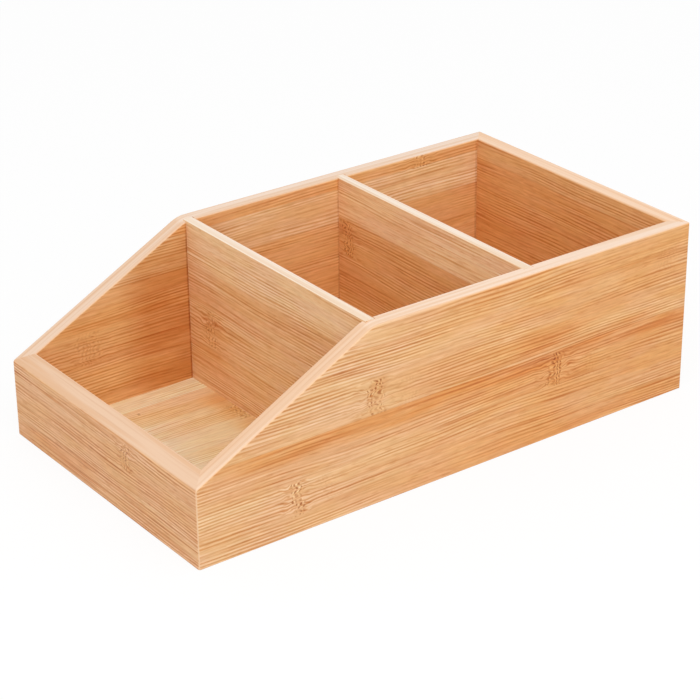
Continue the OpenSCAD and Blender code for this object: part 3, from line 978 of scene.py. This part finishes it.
# Node, slot, shape, what is cut out, and what its bamboo takes
boards = [
    ("front_wall", "bamboo_wall", cross_board(-1), wall_tools,
     dict(seed=3, lie="cross", faces=FRONT_WALL, middle=-WALL_MIDDLE_Y, rim=FRONT_RIM, boldness=1.55)),
    ("rear_wall", "bamboo_wall", cross_board(1), wall_tools,
     dict(seed=5, lie="cross", faces=REAR_WALL, middle=WALL_MIDDLE_Y, rim=REAR_RIM)),
    ("left_side", "bamboo_side", side_board(-1), side_tools,
     dict(seed=7, lie="side", faces=LEFT_SIDE, middle=-WALL_MIDDLE_X, rim=LEFT_RIM, boldness=0.85)),
    ("right_side", "bamboo_side", side_board(1), side_tools,
     dict(seed=11, lie="side", faces=RIGHT_SIDE, middle=WALL_MIDDLE_X, rim=RIGHT_RIM)),
    ("front_divider", "bamboo_divider", divider_board(FRONT_DIVIDER_Y), [brad_holes],
     dict(seed=13, lie="cross", faces=FRONT_DIVIDER, middle=FRONT_DIVIDER_MIDDLE_Y, rim=DIVIDER_RIM)),
    ("rear_divider", "bamboo_divider", divider_board(REAR_DIVIDER_Y), [brad_holes],
     dict(seed=17, lie="cross", faces=REAR_DIVIDER, middle=REAR_DIVIDER_MIDDLE_Y, rim=DIVIDER_RIM)),
    ("bottom_panel", "bamboo_panel", panel_board(), [brad_holes],
     dict(seed=19, lie="floor", faces=BOTTOM_PANEL, middle=BOTTOM_T / 2, boldness=0.55)),
]
for node, slot, shape, tools, finish in boards:
    board = piece(f"{node}_board", shape)
    cut_away(board, tools)
    finish_edges(board)
    board.data.materials.append(bamboo(f"{node}_bamboo", **finish))
    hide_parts(node)
    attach(board, "root")
for tool in (rabbet, *dados, *slots, brad_holes):
    bpy.data.objects.remove(tool)

# The splines and the brads keep their solids
spline_wood = bamboo("spline_wood", seed=23, lie="floor", faces=BOTTOM_PANEL)
steel = brad_steel()
for name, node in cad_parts.items():
    if name == "bottom_brads" or name.endswith("_spline"):
        for holder in node.material_slots:
            holder.material = steel if name == "bottom_brads" else spline_wood


# Floor, light and camera

WHITE, FLOOR_GREY = (1.0, 1.0, 1.0), (0.66, 0.66, 0.66)
# How much of the white that is seen is the floor's own, the rest being lit and shaded
FLOOR_GLOW = 0.88
# Half the floor's width and how far it lies under the box, in metres, and its cells each way
FLOOR_REACH, FLOOR_DROP, FLOOR_CELLS = 6.0, 0.0001, 8
# How bright the room is as a light, and as it is seen
ROOM_LIGHT, ROOM_SEEN = 0.74, 1.0
# Where the lamp hangs and how wide it is, in metres, and its power in watts
LAMP_PLACE = Vector((1.0, -0.5, 1.2))
LAMP_WIDTH, LAMP_POWER = 1.6, 13.0
# Where the camera looks and stands, in millimetres, how far it is tilted, in degrees, and its lens
CAMERA_AIM = Vector((2.94, -5.12, 39.35))
CAMERA_PLACE = Vector((885.15, -653.19, 571.73))
CAMERA_ROLL = 0.608
CAMERA_LENS, SENSOR_WIDTH = 116.153, 36.0


def backdrop_share(bench):
    """1 where the camera, a mirror or clear glass sees the backdrop, 0 for the light that it sheds."""
    path = bench.node("ShaderNodeLightPath")
    seen = bench.math("MAXIMUM", path.outputs["Is Camera Ray"], path.outputs["Is Glossy Ray"])
    return bench.math("MAXIMUM", seen, path.outputs["Is Transmission Ray"])


def lay_floor():
    """A wide white floor that keeps the faint shadow of the box."""
    shape = bmesh.new()
    bmesh.ops.create_grid(shape, x_segments=FLOOR_CELLS, y_segments=FLOOR_CELLS, size=FLOOR_REACH)
    floor = piece("studio_floor", shape)
    floor.location.z = -FLOOR_DROP
    material, bench = new_material("studio_floor_white")
    bench.tree.nodes.clear()
    seen = backdrop_share(bench)
    plain = bench.node("ShaderNodeBsdfDiffuse")
    bench.feed(plain.inputs["Color"], bench.mix(seen, FLOOR_GREY, WHITE))
    bright = bench.node("ShaderNodeEmission")
    bench.feed(bright.inputs["Color"], WHITE)
    blend = bench.node("ShaderNodeMixShader")
    bench.filled(blend, (bench.math("MULTIPLY", seen, FLOOR_GLOW), plain.outputs[0], bright.outputs[0]))
    bench.feed(bench.node("ShaderNodeOutputMaterial").inputs["Surface"], blend.outputs[0])
    floor.data.materials.append(material)


def light_studio():
    """A white room with one large soft lamp overhead, a little to the right and in front."""
    world = bpy.data.worlds.new("studio_room")
    world.use_nodes = True
    bpy.context.scene.world = world
    bench = Bench(world.node_tree)
    background = bench.tree.nodes["Background"]
    bench.feed(background.inputs["Color"], WHITE)
    strength = bench.fade(backdrop_share(bench), 0.0, 1.0, ROOM_LIGHT, ROOM_SEEN)
    bench.feed(background.inputs["Strength"], strength)
    lamp = bpy.data.lights.new("overhead_lamp", "AREA")
    lamp.shape, lamp.size = "SQUARE", LAMP_WIDTH
    lamp.energy = LAMP_POWER
    holder = bpy.data.objects.new("overhead_lamp", lamp)
    holder.location = LAMP_PLACE
    holder.rotation_mode = "QUATERNION"
    holder.rotation_quaternion = (-LAMP_PLACE).to_track_quat("-Z", "Y")
    bpy.context.scene.collection.objects.link(holder)


def place_camera():
    """A long lens from the front right, as in the photograph."""
    lens = bpy.data.cameras.new("camera")
    lens.lens, lens.sensor_width, lens.sensor_fit = CAMERA_LENS, SENSOR_WIDTH, "AUTO"
    camera = bpy.data.objects.new("camera", lens)
    camera.location = CAMERA_PLACE * MM
    camera.rotation_mode = "QUATERNION"
    level = (CAMERA_AIM - CAMERA_PLACE).to_track_quat("-Z", "Y")
    camera.rotation_quaternion = level @ Quaternion((0, 0, 1), -math.radians(CAMERA_ROLL))
    bpy.context.scene.collection.objects.link(camera)
    bpy.context.scene.camera = camera


lay_floor()
light_studio()
place_camera()
bpy.context.scene.view_settings.view_transform = "Standard"

bpy.context.view_layer.update()
